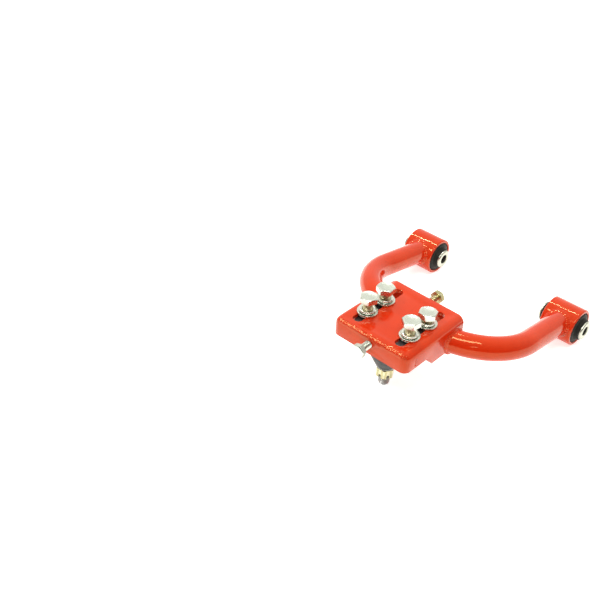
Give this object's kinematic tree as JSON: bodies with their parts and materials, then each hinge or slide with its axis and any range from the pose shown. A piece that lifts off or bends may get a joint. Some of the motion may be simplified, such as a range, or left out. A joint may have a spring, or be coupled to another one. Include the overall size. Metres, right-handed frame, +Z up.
{
  "type": "adjustable suspension control arm",
  "caption": "Welded V-shaped control arm with two bushed eyes and a ball joint that slides in a slotted housing to adjust camber.",
  "frame": {"origin": "bottom centre of the whole arm's box, on the plane that the two eyes and the stud's end stand on", "axes": "+Y from the housing's outboard face towards the bush axis (longest extent), +X along the bush axis, +Z up"},
  "size_m": [0.236, 0.2562, 0.099],
  "materials": {
    "red_powder_coat": "glossy red-orange powder coat with slight orange peel, over welded steel",
    "black_rubber": "matt black moulded rubber",
    "boot_rubber": "satin black moulded rubber, slightly greasy",
    "bare_steel": "plain satin steel",
    "silver_zinc": "bright silver zinc plating",
    "yellow_zinc": "pale yellow passivated zinc plating",
    "black_steel": "black phosphated steel, satin",
    "bearing_plastic": "off-white acetal"
  },
  "bodies": {
    "arm": {"housing_channel": "red_powder_coat", "front_plate": "red_powder_coat", "rear_plate": "red_powder_coat", "front_edge_weld": "red_powder_coat", "leg_tube_left": "red_powder_coat", "leg_tube_right": "red_powder_coat", "wall_weld_left": "red_powder_coat", "wall_weld_right": "red_powder_coat", "eye_weld_left": "red_powder_coat", "eye_weld_right": "red_powder_coat", "bushing_eye_left": "red_powder_coat", "bushing_eye_right": "red_powder_coat", "bushing_shell_left": "bare_steel", "bushing_shell_right": "bare_steel", "bushing_rubber_left": "black_rubber", "bushing_rubber_right": "black_rubber"},
    "carrier": {"carrier_plate": "black_steel", "ball_joint_housing": "black_steel", "ball_joint_cap": "black_steel", "bearing_liner": "bearing_plastic", "boot_clip_upper": "bare_steel", "flat_washer_front_left": "silver_zinc", "flat_washer_rear_left": "silver_zinc", "flat_washer_front_right": "silver_zinc", "flat_washer_rear_right": "silver_zinc", "spring_washer_front_left": "silver_zinc", "spring_washer_rear_left": "silver_zinc", "spring_washer_front_right": "silver_zinc", "spring_washer_rear_right": "silver_zinc"},
    "front_adjuster": {"adjuster_screw_front": "silver_zinc"},
    "rear_adjuster": {"adjuster_screw_rear": "yellow_zinc"},
    "bolt_front_left": {"clamp_bolt_front_left": "silver_zinc"},
    "bolt_rear_left": {"clamp_bolt_rear_left": "silver_zinc"},
    "bolt_front_right": {"clamp_bolt_front_right": "silver_zinc"},
    "bolt_rear_right": {"clamp_bolt_rear_right": "silver_zinc"},
    "boot": {"dust_boot": "boot_rubber"},
    "boot_end": {"boot_clip_lower": "bare_steel"},
    "stud": {"ball_stud": "silver_zinc", "castle_nut": "yellow_zinc"},
    "left_sleeve": {"bushing_sleeve_left": "silver_zinc"},
    "right_sleeve": {"bushing_sleeve_right": "silver_zinc"}
  },
  "joints": [
    {"name": "carrier_slide", "type": "slide", "parent": "arm", "child": "carrier", "axis": [0, 0.9984, -0.056], "range_m": [-0.0133, 0.0108]},
    {"name": "front_adjuster_slide", "type": "slide", "parent": "arm", "child": "front_adjuster", "axis": [0, 0.9984, -0.056], "range_m": [-0.0133, 0.0108]},
    {"name": "rear_adjuster_slide", "type": "slide", "parent": "arm", "child": "rear_adjuster", "axis": [0, 0.9984, -0.056], "range_m": [-0.0133, 0.0108]},
    {"name": "bolt_front_left_screw_in", "type": "slide", "parent": "carrier", "child": "bolt_front_left", "axis": [0, 0.056, 0.9984], "range_m": [-0.008, 0]},
    {"name": "bolt_rear_left_screw_in", "type": "slide", "parent": "carrier", "child": "bolt_rear_left", "axis": [0, 0.056, 0.9984], "range_m": [-0.0058, 0]},
    {"name": "bolt_front_right_screw_in", "type": "slide", "parent": "carrier", "child": "bolt_front_right", "axis": [0, 0.056, 0.9984], "range_m": [-0.0082, 0]},
    {"name": "bolt_rear_right_screw_in", "type": "slide", "parent": "carrier", "child": "bolt_rear_right", "axis": [0, 0.056, 0.9984], "range_m": [-0.0038, 0]},
    {"name": "ball_joint_swing", "type": "hinge", "parent": "carrier", "child": "boot", "pos_m": [0, -0.07861, 0.05798], "axis": [1, 0, 0], "range_deg": [-18, 18], "deforming": ["dust_boot"]},
    {"name": "ball_joint_rock", "type": "hinge", "parent": "boot", "child": "boot_end", "pos_m": [0, -0.07861, 0.05798], "axis": [0, 0.9984, -0.056], "range_deg": [-18, 18], "deforming": ["dust_boot"]},
    {"name": "stud_spin", "type": "hinge", "parent": "boot_end", "child": "stud", "pos_m": [0, -0.07861, 0.05798], "axis": [0, 0.056, 0.9984], "continuous": true},
    {"name": "left_sleeve_twist", "type": "hinge", "parent": "arm", "child": "left_sleeve", "pos_m": [-0.0923, 0.10748, 0.0206], "axis": [1, 0, 0], "range_deg": [-25, 25], "stiffness_Nm_per_rad": 12},
    {"name": "right_sleeve_twist", "type": "hinge", "parent": "arm", "child": "right_sleeve", "pos_m": [0.0923, 0.10748, 0.0206], "axis": [1, 0, 0], "range_deg": [-25, 25], "stiffness_Nm_per_rad": 12}
  ],
  "couplings": [
    {"joint": "front_adjuster_slide", "follows": "carrier_slide", "ratio": 1},
    {"joint": "rear_adjuster_slide", "follows": "carrier_slide", "ratio": 1}
  ]
}
